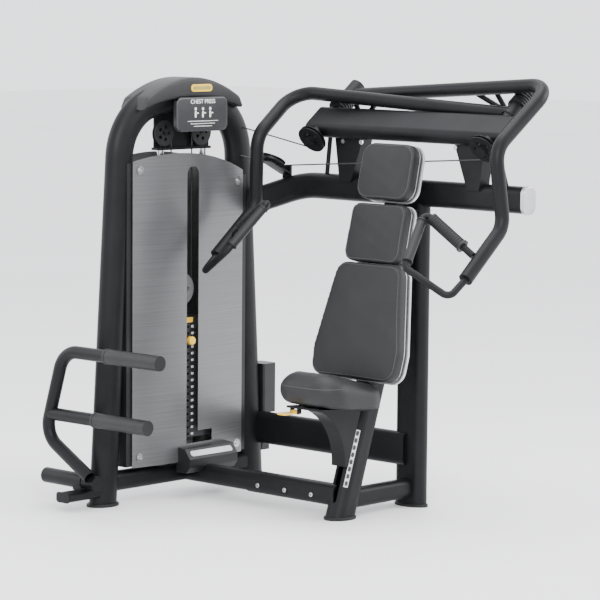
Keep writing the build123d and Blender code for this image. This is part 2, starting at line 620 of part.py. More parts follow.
FOOT_PLACES = [
    (0, TOWER_MID_Y - LEG_FOOT_OFFSET, LEG_WIDTH + 18, LEG_DEPTH + 18),
    (0, TOWER_MID_Y + LEG_FOOT_OFFSET, LEG_WIDTH + 18, LEG_DEPTH + 18),
    (SEAT_X, POST_FOOT_Y + 2, POST_WIDTH + 18, POST_DEPTH + 26),
    (SEAT_X, REAR_POST_Y, REAR_POST_WIDTH + 18, REAR_POST_DEPTH + 18),
]
with BuildPart() as feet:
    for foot_x, foot_y, foot_width, foot_depth in FOOT_PLACES:
        with BuildSketch(Plane(at(foot_x, foot_y, 0))):
            Ellipse(foot_width / 2, foot_depth / 2)
        extrude(amount=FLOOR_GAP)
    chamfer(feet.faces().filter_by(Axis.Z).group_by(Axis.Z)[-1].edges(), 3)
feet.part.label = "feet"
export_step(feet.part, "parts/feet.step")

COVER_WIDTH = 240.0
with BuildPart() as base_cover:
    with BuildSketch(Plane(origin=at(0, TOWER_MID_Y + 50 + COVER_WIDTH / 2, 0), x_dir=(1, 0, 0), z_dir=(0, -1, 0))):
        with BuildLine():
            cover_left = SHIELD_EDGE_X + SHIELD_BOW - 8
            Polyline((cover_left, 90), (112, 90), (130, 112), (130, 142), (104, 176), (cover_left, 180), close=True)
        make_face()
    extrude(amount=COVER_WIDTH)
    fillet(base_cover.edges().filter_by(Axis.Y).sort_by(Axis.X)[-4:], 8)
    add(front_shield.part, mode=Mode.SUBTRACT)
    add(seat_ground_beam.part, mode=Mode.SUBTRACT)
    chunk = base_cover.part.solids().sort_by(SortBy.VOLUME)[-1]
    add(chunk, mode=Mode.REPLACE)
base_cover.part.label = "base_cover"
export_step(base_cover.part, "parts/base_cover.step")

with BuildPart() as rear_box:
    with BuildSketch(Plane(at(6, 780, 252))):
        RectangleRounded(78, 66, 8)
    extrude(amount=180)
    with BuildSketch(Plane(at(6, 780, 112))):
        RectangleRounded(40, 44, 6)
    extrude(amount=140)
    add(TOWER_FORM, mode=Mode.SUBTRACT)
    add(lower_beam.part, mode=Mode.SUBTRACT)
    chunk = rear_box.part.solids().sort_by(SortBy.VOLUME)[-1]
    add(chunk, mode=Mode.REPLACE)
rear_box.part.label = "rear_box"
export_step(rear_box.part, "parts/rear_box.step")

# ================================== crossbar and pivot bearings ==================================

PIVOTS = {"right": SEAT_X + PIVOT_OFFSET, "left": SEAT_X - PIVOT_OFFSET}
HOUSING_RADIUS = 24.0
SLEEVE_RADIUS = 30.0
HOUSING_REACH = 75.0


def along_pivot(x, low, high, radius, bore=0.0):
    """A round bar or ring about a pivot axis between two levels."""
    return round_bar(pivot_plane(x, low).origin, pivot_plane(x, high).origin, radius, bore)


with BuildPart() as crossbar:
    add(CROSSBAR_FORM)
    add(bar(CROSSBAR_PLANE.offset(4), 2 * CROSSBAR_HALF_LENGTH - 8, CROSSBAR_DEPTH - 8, CROSSBAR_HEIGHT - 8, 20),
        mode=Mode.SUBTRACT)
    for pivot_x in PIVOTS.values():
        add(along_pivot(pivot_x, -HOUSING_REACH, HOUSING_REACH, HOUSING_RADIUS), mode=Mode.SUBTRACT)
crossbar.part.label = "crossbar"
export_step(crossbar.part, "parts/crossbar.step")

with BuildPart() as bearing_housings:
    for pivot_x in PIVOTS.values():
        add(along_pivot(pivot_x, -HOUSING_REACH, HOUSING_REACH - 7, HOUSING_RADIUS, SHAFT_RADIUS))
bearing_housings.part.label = "bearing_housings"
export_step(bearing_housings.part, "parts/bearing_housings.step")

STRUT_OFFSET = 300.0
STRUT_PRESS = -50.0
LUG_RADIUS = 10.0         # small enough to pass the crossbar's edge as the arm rises


def tube_place(name, offset):
    """Level and press height of an arm's top tube at an offset from the mid-plane."""
    share = (offset + PIVOT_OFFSET) / (553 + PIVOT_OFFSET)
    level = HUB_LEVEL[name] + (CORNER_LEVEL[name] - HUB_LEVEL[name]) * share
    return level, -5 + 83 * share


with BuildPart() as crossbar_brackets:
    for side in (-1, 1):
        inner, outer = [SEAT_X + side * edge for edge in (195, 345)]
        foot_inner, foot_outer = [SEAT_X + side * edge for edge in (265, 318)]
        with BuildSketch(Plane(origin=at(0, 725, 0), x_dir=(1, 0, 0), z_dir=(0, -1, 0)).offset(-52)):
            with BuildLine():
                Polyline((inner, 1310), (outer, 1310), (foot_outer, 1120), (foot_inner, 1120), close=True)
            make_face()
        extrude(amount=52)
    for side in (-1, 1):
        add(round_bar(at(SEAT_X + side * 373, 740, 1302), at(SEAT_X + side * 412, 762, 1125), 8))
    for name, side in (("right", -1), ("left", 1)):
        stop_level = tube_place(name, STRUT_OFFSET)[0]
        arm_stop = pivot_plane(SEAT_X + side * STRUT_OFFSET)
        with BuildSketch(Plane(origin=arm_stop.origin, x_dir=arm_stop.x_dir, z_dir=arm_stop.y_dir).offset(-84)):
            with Locations((0, -(stop_level + 15 + 16) / 2)):
                Rectangle(40, stop_level + 15 - 16)
        extrude(amount=8)
        with BuildSketch(Plane(origin=arm_stop.origin, x_dir=arm_stop.x_dir, z_dir=arm_stop.y_dir).offset(-84)):
            with Locations((0, -30)):
                Rectangle(40, 28)
        extrude(amount=60)
    add(CROSSBAR_FORM, mode=Mode.SUBTRACT)
    add(UPPER_BEAM_FORM, mode=Mode.SUBTRACT)
    chunks = crossbar_brackets.part.solids().sort_by(SortBy.VOLUME)[-6:]
    add(chunks, mode=Mode.REPLACE)
crossbar_brackets.part.label = "crossbar_brackets"
export_step(crossbar_brackets.part, "parts/crossbar_brackets.step")

with BuildPart() as arm_bumpers:
    for name, side in (("right", -1), ("left", 1)):
        arm_stop = pivot_plane(SEAT_X + side * STRUT_OFFSET, tube_place(name, STRUT_OFFSET)[0])
        with BuildSketch(Plane(origin=arm_stop.origin, x_dir=arm_stop.x_dir, z_dir=arm_stop.y_dir).offset(-76)):
            Circle(13)
        extrude(amount=13)
arm_bumpers.part.label = "arm_bumpers"
export_step(arm_bumpers.part, "parts/arm_bumpers.step")

# ======================================= press arms =======================================

HANDLE_ROUTE = [(542, 429, 934), (352, 408, 1066), (404, 251, 897), (559, 291, 808), (566, 363.2, 862.4)]
HANDLE_RADIUS = 12.0


def arm_sides():
    """Each arm's name with the side its handle is on; its pivot is on the other side."""
    return (("right", -1), ("left", 1))


for name, side in arm_sides():
    pivot_x = PIVOTS[name]

    def place(offset, level, press):
        """A point of this arm, by its offset from the mid-plane and its place across the pivot axis."""
        plane = pivot_plane(SEAT_X + side * offset, level)
        return plane.origin + plane.y_dir * press

    tube_end = place(566, -575, -147)
    elbow = place(563, -324, -134)
    route = [place(-PIVOT_OFFSET, HUB_LEVEL[name], -5), place(553, CORNER_LEVEL[name], 78),
             place(541, -187, 79), elbow, tube_end]
    bore_route = route[:-1] + [tube_end + (elbow - tube_end).normalized() * 6]
    tube_form = bent_tube(route, [90, 90, 80], ARM_RADIUS)
    sleeve = (131, 205) if name == "left" else (70, 123)
    vertex_level = tube_place(name, STRUT_OFFSET)[0]

    with BuildPart() as arm_tube:
        for strut_offset in (178, 290):
            strut_level, strut_press = tube_place(name, strut_offset)
            add(round_bar(place(strut_offset, strut_level, strut_press),
                          place(STRUT_OFFSET, vertex_level, STRUT_PRESS), 9))
        add(round_bar(place(STRUT_OFFSET, vertex_level, -62), place(STRUT_OFFSET, vertex_level, -40), LUG_RADIUS))
        add(tube_form)
        add(bent_tube(bore_route, [90, 90, 80], ARM_RADIUS - ARM_WALL), mode=Mode.SUBTRACT)
        add(along_pivot(pivot_x, sleeve[0] - 20, sleeve[1] + 20, SLEEVE_RADIUS), mode=Mode.SUBTRACT)
        chunk = arm_tube.part.solids().sort_by(SortBy.VOLUME)[-1]
        add(chunk, mode=Mode.REPLACE)
    arm_tube.part.label = f"{name}_arm_tube"
    export_step(arm_tube.part, f"parts/{name}_arm_tube.step")

    with BuildPart() as arm_hub:
        add(along_pivot(pivot_x, CAM_LEVEL - 20, sleeve[1], SHAFT_RADIUS - BEARING_CLEARANCE))
        add(along_pivot(pivot_x, sleeve[0], sleeve[1], SLEEVE_RADIUS))
        if name == "right":
            add(along_pivot(pivot_x, DRUM_LEVEL[name][0] - 2, DRUM_LEVEL[name][1] + 22, SHAFT_RADIUS))
            add(along_pivot(pivot_x, DRUM_LEVEL[name][1], DRUM_LEVEL[name][1] + 22, SLEEVE_RADIUS))
        add(pulley(pivot_plane(pivot_x, CAM_LEVEL), CAM_CABLE_RADIUS, 10))
        add(along_pivot(pivot_x, CAM_LEVEL - 20, CAM_LEVEL + 10, 20))
    arm_hub.part.label = f"{name}_arm_hub"
    export_step(arm_hub.part, f"parts/{name}_arm_hub.step")

    low, high = DRUM_LEVEL[name]
    with BuildPart() as arm_drum:
        add(along_pivot(pivot_x, low, high, 33.5, SHAFT_RADIUS))
        rib_count = 6
        for rib in range(rib_count):
            rib_low = low + rib * (high - low - 5) / (rib_count - 1)
            add(along_pivot(pivot_x, rib_low, rib_low + 5, 36.5, 20))
    arm_drum.part.label = f"{name}_arm_drum"
    export_step(arm_drum.part, f"parts/{name}_arm_drum.step")

    handle = [at(SEAT_X + side * offset, y, z) for offset, y, z in HANDLE_ROUTE]
    with BuildPart() as handle_rod:
        add(bent_tube(handle, [17, 22, 26], HANDLE_RADIUS))
        add(tube_form, mode=Mode.SUBTRACT)
        chunk = handle_rod.part.solids().sort_by(SortBy.VOLUME)[-1]
        add(chunk, mode=Mode.REPLACE)
    handle_rod.part.label = f"{name}_handle_rod"
    export_step(handle_rod.part, f"parts/{name}_handle_rod.step")

    textured_way = (handle[1] - handle[0]).normalized()
    plain_way = (handle[2] - handle[1]).normalized()
    with BuildPart() as grips:
        add(round_bar(handle[0] + textured_way * 48, handle[0] + textured_way * 200, 18, HANDLE_RADIUS))
        add(round_bar(handle[0] + textured_way * 48, handle[0] + textured_way * 56, 23, HANDLE_RADIUS))
        add(round_bar(handle[1] + plain_way * 34, handle[1] + plain_way * 214, 16, HANDLE_RADIUS))
    grips.part.label = f"{name}_grips"
    export_step(grips.part, f"parts/{name}_grips.step")

# ---- cables that turn the two cams ----
TOWER_EXIT = at(20, 636, 1300)
LOWER_EXIT = at(20, 620, 1200)
CAM_WRAP = 1.0            # radians of cable lying in a cam's groove


def rim_point(plane, radius, angle):
    """A point on a pulley's cable circle."""
    return plane.from_local_coords(Vector(radius * cos(angle), radius * sin(angle), 0))


def tangent_angle(plane, radius, target, turn):
    """Where a straight cable from target meets a pulley's cable circle."""
    local = plane.to_local_coords(target)
    return atan2(local.Y, local.X) + turn * acos(radius / hypot(local.X, local.Y))


left_cam = pivot_plane(PIVOTS["left"], CAM_LEVEL)
right_cam = pivot_plane(PIVOTS["right"], CAM_LEVEL)
left_meet = tangent_angle(left_cam, CAM_CABLE_RADIUS, TOWER_EXIT, -1)
right_meet = tangent_angle(right_cam, CAM_CABLE_RADIUS, CORNER_CENTRE, -1)
corner_in = tangent_angle(CORNER_PLANE, CORNER_CABLE_RADIUS, right_cam.origin, 1)
corner_out = tangent_angle(CORNER_PLANE, CORNER_CABLE_RADIUS, LOWER_EXIT, -1)
if corner_out < corner_in:
    corner_out += 2 * pi


def cable_wrap(plane, radius, first, last):
    """A cable lying in a pulley's groove between two angles."""
    with BuildPart() as wrap:
        with BuildLine() as curve:
            ThreePointArc(*[rim_point(plane, radius, angle) for angle in (first, (first + last) / 2, last)])
        with BuildSketch(Plane(origin=curve.line @ 0, z_dir=curve.line % 0)):
            Circle(CABLE_RADIUS)
        sweep()
    return wrap.part


left_touch = rim_point(left_cam, CAM_CABLE_RADIUS, left_meet)
right_touch = rim_point(right_cam, CAM_CABLE_RADIUS, right_meet)
corner_start = rim_point(CORNER_PLANE, CORNER_CABLE_RADIUS, corner_out)
corner_end = rim_point(CORNER_PLANE, CORNER_CABLE_RADIUS, corner_in)
with BuildPart() as transfer_cables:
    add(round_bar(TOWER_EXIT, left_touch, CABLE_RADIUS))
    add(cable_wrap(left_cam, CAM_CABLE_RADIUS, left_meet - CAM_WRAP, left_meet))
    add(round_bar(LOWER_EXIT, corner_start, CABLE_RADIUS))
    add(cable_wrap(CORNER_PLANE, CORNER_CABLE_RADIUS, corner_in, corner_out))
    add(round_bar(corner_end, right_touch, CABLE_RADIUS))
    add(cable_wrap(right_cam, CAM_CABLE_RADIUS, right_meet - CAM_WRAP, right_meet))
    add(TOWER_FORM, mode=Mode.SUBTRACT)
transfer_cables.part.label = "transfer_cables"
export_step(transfer_cables.part, "parts/transfer_cables.step")

# ======================================= back rest =======================================

BACK_SLOPE = 0.24


def back_face(z):
    """The back pads' front face at a height: its normal faces the user and its Y runs up the back."""
    lean = leaning(BACK_LEAN, BACK_BASE[0] + (z - BACK_BASE[1]) * BACK_SLOPE, z)
    return Plane(origin=lean.origin, x_dir=(1, 0, 0), z_dir=-lean.y_dir)


BACK_PADS = {
    "lower_back_pad": (481, [(-187, 0), (-192, 100), (-140, 394), (140, 394), (192, 100), (187, 0)], 46),
    "middle_back_pad": (872, [(-124, 0), (-122, 199), (122, 199), (124, 0)], 34),
    "head_pad": (1083, [(-119, 0), (-116, 192), (116, 192), (119, 0)], 48),
}
for pad_name, (pad_z, outline, corner) in BACK_PADS.items():
    with BuildPart() as back_pad:
        with BuildSketch(back_face(pad_z)) as pad_outline:
            with BuildLine():
                Polyline(*outline, close=True)
            make_face()
            fillet(pad_outline.vertices(), corner)
        extrude(amount=-PAD_THICKNESS)
    back_pad.part.label = pad_name
    export_step(back_pad.part, f"parts/{pad_name}.step")

with BuildPart() as back_shells:
    for pad_z, outline, corner in BACK_PADS.values():
        with BuildSketch(back_face(pad_z).offset(-PAD_THICKNESS)) as shell_outline:
            with BuildLine():
                Polyline(*outline, close=True)
            make_face()
            fillet(shell_outline.vertices(), corner)
            offset(amount=3)
        extrude(amount=-SHELL_THICKNESS)
    add(SEAT_POST_FORM, mode=Mode.SUBTRACT)
back_shells.part.label = "back_shells"
export_step(back_shells.part, "parts/back_shells.step")

CARRIER_WIDTH = 58.0
with BuildPart() as back_carrier:
    carrier_face = back_face(BACK_BASE[1]).offset(-PAD_THICKNESS - SHELL_THICKNESS)
    for low, high, depth in ((24, 610, 74), (560, 786, 34)):
        with BuildSketch(carrier_face):
            with Locations((0, (low + high) / 2)):
                Rectangle(CARRIER_WIDTH, high - low)
        extrude(amount=-depth)
    add(SEAT_POST_FORM, mode=Mode.SUBTRACT)
    add(UPPER_BEAM_FORM, mode=Mode.SUBTRACT)
    add(round_bar(corner_end, right_touch, 10), mode=Mode.SUBTRACT)
back_carrier.part.label = "back_carrier"
export_step(back_carrier.part, "parts/back_carrier.step")

# ======================================= seat =======================================

SEAT_FRONT_Y = 185.0
SEAT_REAR_Y = 495.0
SEAT_WIDTH = 272.0
SIDE_PLANE = Plane(origin=at(SEAT_X, 0, 0), x_dir=(0, 1, 0), z_dir=(1, 0, 0))
with BuildPart() as seat_pad:
    with BuildSketch(Plane(at(SEAT_X, (SEAT_FRONT_Y + SEAT_REAR_Y) / 2, 360))) as seat_outline:
        RectangleRounded(SEAT_WIDTH, SEAT_REAR_Y - SEAT_FRONT_Y, 92)
    extrude(amount=200)
    with BuildSketch(SIDE_PLANE):
        with BuildLine():
            Polyline((SEAT_FRONT_Y - 10, 402), (SEAT_FRONT_Y - 10, 514), (SEAT_REAR_Y + 10, 446),
                     (SEAT_REAR_Y + 10, 378), close=True)
        make_face()
    extrude(amount=SEAT_WIDTH, both=True, mode=Mode.INTERSECT)
    with BuildSketch(POST_PLANE):
        with Locations((0, 20)):
            RectangleRounded(POST_WIDTH + 10, POST_DEPTH + 50, 30)
    extrude(amount=800, mode=Mode.SUBTRACT)
seat_pad.part.label = "seat_pad"
export_step(seat_pad.part, "parts/seat_pad.step")


def post_front(z, gap=0.6):
    """Y of the seat post's front face at a height, less a running gap."""
    return POST_FOOT_Y + z * tan(radians(POST_LEAN)) - POST_DEPTH / 2 / cos(radians(POST_LEAN)) - gap


GUSSET_LOW_Z = 182.0
GUSSET_WIDTH = 62.0
SLIDER_SPAN = (186.0, 216.0)   # along the post
with BuildPart() as seat_bracket:
    for width, shift, way in ((GUSSET_WIDTH, 0, Mode.ADD), (GUSSET_WIDTH - 10, 6, Mode.SUBTRACT)):
        with BuildSketch(SIDE_PLANE.offset(-width / 2)):
            with BuildLine():
                low = (post_front(GUSSET_LOW_Z) - 16 + shift, GUSSET_LOW_Z)
                high = (222 + shift, 394)
                ThreePointArc(low, (352 + shift, 306), high)
                Polyline(high, (post_front(382) + 2 * shift, 382), (post_front(GUSSET_LOW_Z) + 2 * shift, GUSSET_LOW_Z),
                         low)
            make_face()
        extrude(amount=width, mode=way)
    with BuildSketch(SIDE_PLANE.offset(-82)):
        with BuildLine():
            Polyline((212, 392), (212, 399.3), (458, 381.1), (458, 374), close=True)
        make_face()
    extrude(amount=164)
    with BuildSketch(Plane(origin=POST_PLANE.origin, x_dir=(1, 0, 0), z_dir=-POST_PLANE.y_dir)
                     .offset(POST_DEPTH / 2 - 12)):
        with Locations((0, (SLIDER_SPAN[0] + SLIDER_SPAN[1]) / 2)):
            Rectangle(POST_SLOT_WIDTH - 0.8, SLIDER_SPAN[1] - SLIDER_SPAN[0])
    extrude(amount=30)
    for lug_x in (-70, -38):
        with BuildSketch(SIDE_PLANE.offset(lug_x)):
            with Locations((226, 384)):
                Rectangle(18, 22)
        extrude(amount=4)
    add(round_bar(at(SEAT_X - 68, 226, 378), at(SEAT_X - 36, 226, 378), 4))
    with BuildSketch(POST_PLANE):
        with Locations((0, 46)):
            Rectangle(POST_WIDTH + 12, POST_DEPTH + 92)
        RectangleRounded(POST_WIDTH - 12, POST_DEPTH - 12, 28, mode=Mode.SUBTRACT)
    extrude(amount=800, mode=Mode.SUBTRACT)
    add(seat_pad.part, mode=Mode.SUBTRACT)
    chunk = seat_bracket.part.solids().sort_by(SortBy.VOLUME)[-1]
    add(chunk, mode=Mode.REPLACE)
seat_bracket.part.label = "seat_bracket"
export_step(seat_bracket.part, "parts/seat_bracket.step")

with BuildPart() as seat_lever:
    lever_hub = at(SEAT_X - 65.5, 226, 378)
    add(round_bar(lever_hub, lever_hub + Vector(26.5, 0, 0), 8, 4 + BEARING_CLEARANCE))
    with BuildSketch(Plane(at(SEAT_X - 52.25, 188, 375))):
        with Locations((0, 4)):
            Rectangle(22, 54)
        with Locations((0, -14)):
            RectangleRounded(40, 44, 8)
    extrude(amount=6)
    add(round_bar(lever_hub, lever_hub + Vector(26.5, 0, 0), 4 + BEARING_CLEARANCE), mode=Mode.SUBTRACT)
seat_lever.part.label = "seat_lever"
export_step(seat_lever.part, "parts/seat_lever.step")

with BuildPart() as seat_scale:
    strip_plane = Plane(origin=POST_PLANE.from_local_coords(Vector(30.04, -40.04, 0)),
                        x_dir=Vector(1, 0, 0) + POST_PLANE.y_dir, z_dir=Vector(1, 0, 0) - POST_PLANE.y_dir)
    with BuildSketch(strip_plane.offset(-0.8)):
        with Locations((0, 205)):
            Rectangle(15, 200)
    extrude(amount=1.8)
    add(SEAT_POST_FORM, mode=Mode.SUBTRACT)
seat_scale.part.label = "seat_scale"
export_step(seat_scale.part, "parts/seat_scale.step")

# ======================================= foot lever =======================================

PEDAL_Y = -126.0
PEDAL_ROUTE = [at(56, PEDAL_Y, 118), at(-168, PEDAL_Y, 245), at(-75, PEDAL_Y, 545), at(396, PEDAL_Y, 545)]
PEDAL_SHAFT_RADIUS = 13.0
PEDAL_HUB = (12.0, 72.0)
MID_BAR_Z = 320.0
GRIP_SPANS = {545.0: (146.0, 396.0), MID_BAR_Z: (87.0, 338.0)}


def along_pedal(low, high, radius, bore=0.0):
    """A round bar or ring about the foot lever's axis between two X places."""
    return round_bar(at(low, PEDAL_AXIS_Y, PEDAL_AXIS_Z), at(high, PEDAL_AXIS_Y, PEDAL_AXIS_Z), radius, bore)


with BuildPart() as pedal_pivot_tube:
    add(along_pedal(-190, 10, 27, PEDAL_SHAFT_RADIUS))
    with BuildSketch(Plane(at(-10, PEDAL_AXIS_Y, 66))):
        Rectangle(40, 46)
    extrude(amount=30)
    add(along_pedal(-200, 30, PEDAL_SHAFT_RADIUS), mode=Mode.SUBTRACT)
pedal_pivot_tube.part.label = "pedal_pivot_tube"
export_step(pedal_pivot_tube.part, "parts/pedal_pivot_tube.step")

with BuildPart() as pedal_frame:
    add(bent_tube(PEDAL_ROUTE, [80, 90], PEDAL_TUBE_RADIUS))
    add(round_bar(at(-144, PEDAL_Y, MID_BAR_Z), at(GRIP_SPANS[MID_BAR_Z][1], PEDAL_Y, MID_BAR_Z),
                  PEDAL_TUBE_RADIUS))
    add(bent_tube(PEDAL_ROUTE, [80, 90], PEDAL_TUBE_RADIUS - 2.5), mode=Mode.SUBTRACT)
    add(along_pedal(*PEDAL_HUB, 25))
    add(along_pedal(-186, PEDAL_HUB[1], PEDAL_SHAFT_RADIUS - BEARING_CLEARANCE))
pedal_frame.part.label = "pedal_frame"
export_step(pedal_frame.part, "parts/pedal_frame.step")

with BuildPart() as pedal_grips:
    for grip_z, (grip_start, grip_end) in GRIP_SPANS.items():
        add(round_bar(at(grip_start, PEDAL_Y, grip_z), at(grip_end, PEDAL_Y, grip_z), PEDAL_GRIP_RADIUS,
                      PEDAL_TUBE_RADIUS))
        add(round_bar(at(grip_end, PEDAL_Y, grip_z), at(grip_end + 5, PEDAL_Y, grip_z), PEDAL_GRIP_RADIUS))
pedal_grips.part.label = "pedal_grips"
export_step(pedal_grips.part, "parts/pedal_grips.step")
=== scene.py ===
"""Look of the incline chest press: materials, cushions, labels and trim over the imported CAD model."""
import json
import math

import bpy
from mathutils import Matrix, Vector
from mathutils.bvhtree import BVHTree


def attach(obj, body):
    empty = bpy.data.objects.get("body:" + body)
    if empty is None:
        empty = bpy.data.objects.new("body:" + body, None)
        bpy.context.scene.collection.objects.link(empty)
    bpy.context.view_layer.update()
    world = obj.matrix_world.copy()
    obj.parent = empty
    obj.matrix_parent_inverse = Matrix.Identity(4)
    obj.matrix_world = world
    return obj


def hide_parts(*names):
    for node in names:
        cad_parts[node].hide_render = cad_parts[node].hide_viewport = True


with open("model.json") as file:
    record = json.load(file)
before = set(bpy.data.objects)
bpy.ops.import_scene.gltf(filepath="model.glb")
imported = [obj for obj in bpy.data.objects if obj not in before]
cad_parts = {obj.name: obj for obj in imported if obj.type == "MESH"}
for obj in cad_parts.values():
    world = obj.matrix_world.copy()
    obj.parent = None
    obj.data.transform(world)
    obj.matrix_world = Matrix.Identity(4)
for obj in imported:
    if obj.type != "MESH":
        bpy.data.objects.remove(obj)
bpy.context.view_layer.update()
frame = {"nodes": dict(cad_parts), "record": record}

NODES = frame["nodes"]
X = Vector((1, 0, 0))
Y = Vector((0, 1, 0))
Z = Vector((0, 0, 1))

# The layout frame starts on the floor under the tower's front foot; the row's origin is at its middle.
CENTRE = Vector((0.5725, 0.362, 0.0))
SEAT_X = 0.745
TOWER_MID_Y = 0.355
POST_FOOT_Y = 0.393
POST_LEAN = math.radians(18.34)
BACK_LEAN = math.radians(13.5)
SEAT_SLOPE = math.radians(12)


def at(x, y, z):
    """A layout point, in metres, in the row's frame."""
    return Vector((x, y, z)) - CENTRE


# ---------------------------------------------------------------- camera
CAMERA_PLACE = at(7.286, -6.828, 1.806)
CAMERA_YAW, CAMERA_PITCH, CAMERA_ROLL = math.radians(43), math.radians(6.2), math.radians(-0.5)


def aim_camera():
    forward = Vector((-math.sin(CAMERA_YAW) * math.cos(CAMERA_PITCH),
                      math.cos(CAMERA_YAW) * math.cos(CAMERA_PITCH),
                      -math.sin(CAMERA_PITCH)))
    level_right = Vector((math.cos(CAMERA_YAW), math.sin(CAMERA_YAW), 0))
    level_down = forward.cross(level_right)
    right = math.cos(CAMERA_ROLL) * level_right + math.sin(CAMERA_ROLL) * level_down
    down = -math.sin(CAMERA_ROLL) * level_right + math.cos(CAMERA_ROLL) * level_down
    data = bpy.data.cameras.new("camera")
    data.lens = 174
    data.sensor_width = 36
    data.clip_end = 60
    camera = bpy.data.objects.new("camera", data)
    bpy.context.scene.collection.objects.link(camera)
    axes = Matrix((right, -down, -forward)).transposed().to_4x4()
    camera.matrix_world = Matrix.Translation(CAMERA_PLACE) @ axes
    bpy.context.scene.camera = camera


aim_camera()


# ---------------------------------------------------------------- materials
def new_material(name, colour, roughness, metallic=0.0, coat=0.0, specular=0.5):
    material = bpy.data.materials.new(name)
    material.use_nodes = True
    shader = material.node_tree.nodes["Principled BSDF"]
    shader.inputs["Base Color"].default_value = (*colour, 1)
    shader.inputs["Roughness"].default_value = roughness
    shader.inputs["Metallic"].default_value = metallic
    shader.inputs["Coat Weight"].default_value = coat
    shader.inputs["Specular IOR Level"].default_value = specular
    return material, material.node_tree, shader


def coordinates(tree, scale=(1, 1, 1)):
    place = tree.nodes.new("ShaderNodeTexCoord")
    mapping = tree.nodes.new("ShaderNodeMapping")
    mapping.inputs["Scale"].default_value = scale
    tree.links.new(place.outputs["Object"], mapping.inputs["Vector"])
    return mapping.outputs["Vector"]


def noise(tree, vector, scale, detail=3.0):
    node = tree.nodes.new("ShaderNodeTexNoise")
    node.inputs["Scale"].default_value = scale
    node.inputs["Detail"].default_value = detail
    tree.links.new(vector, node.inputs["Vector"])
    return node.outputs["Fac"]


def ramp(tree, factor, low, high, start=0.3, end=0.7):
    node = tree.nodes.new("ShaderNodeMapRange")
    node.inputs["From Min"].default_value = start
    node.inputs["From Max"].default_value = end
    node.inputs["To Min"].default_value = low
    node.inputs["To Max"].default_value = high
    tree.links.new(factor, node.inputs["Value"])
    return node.outputs["Result"]


def tint(tree, shader, factor, dark, light):
    node = tree.nodes.new("ShaderNodeMix")
    node.data_type = "RGBA"
    node.inputs[6].default_value = (*dark, 1)
    node.inputs[7].default_value = (*light, 1)
    tree.links.new(factor, node.inputs[0])
    tree.links.new(node.outputs[2], shader.inputs["Base Color"])


def bump(tree, shader, height, strength, distance):
    node = tree.nodes.new("ShaderNodeBump")
    node.inputs["Strength"].default_value = strength
    node.inputs["Distance"].default_value = distance
    tree.links.new(height, node.inputs["Height"])
    tree.links.new(node.outputs["Normal"], shader.inputs["Normal"])


def grained(name, dark, light, roughness, metallic=0.0, patch=9.0, grain=900.0, strength=0.25,
            stretch=(1, 1, 1), spread=0.08, specular=0.5):
    """A surface with a slow change of tone, a fine grain and a roughness that follows the grain."""
    material, tree, shader = new_material(name, light, roughness, metallic, 0.0, specular)
    vector = coordinates(tree, stretch)
    slow = noise(tree, vector, patch)
    fine = noise(tree, vector, grain, 2.0)
    tint(tree, shader, ramp(tree, slow, 0, 1), dark, light)
    tree.links.new(ramp(tree, fine, roughness - spread, roughness + spread), shader.inputs["Roughness"])
    bump(tree, shader, fine, strength, 0.0004)
    return material


def leatherette(name, dark, light):
    """Pebbled upholstery: cells for the pebbles, noise for the handling marks."""
    material, tree, shader = new_material(name, light, 0.5, specular=0.25)
    vector = coordinates(tree)
    cells = tree.nodes.new("ShaderNodeTexVoronoi")
    cells.inputs["Scale"].default_value = 520
    tree.links.new(vector, cells.inputs["Vector"])
    slow = noise(tree, vector, 14, 4)
    tint(tree, shader, ramp(tree, slow, 0, 1), dark, light)
    tree.links.new(ramp(tree, slow, 0.42, 0.58), shader.inputs["Roughness"])
    bump(tree, shader, cells.outputs["Distance"], 0.45, 0.0006)
    return material


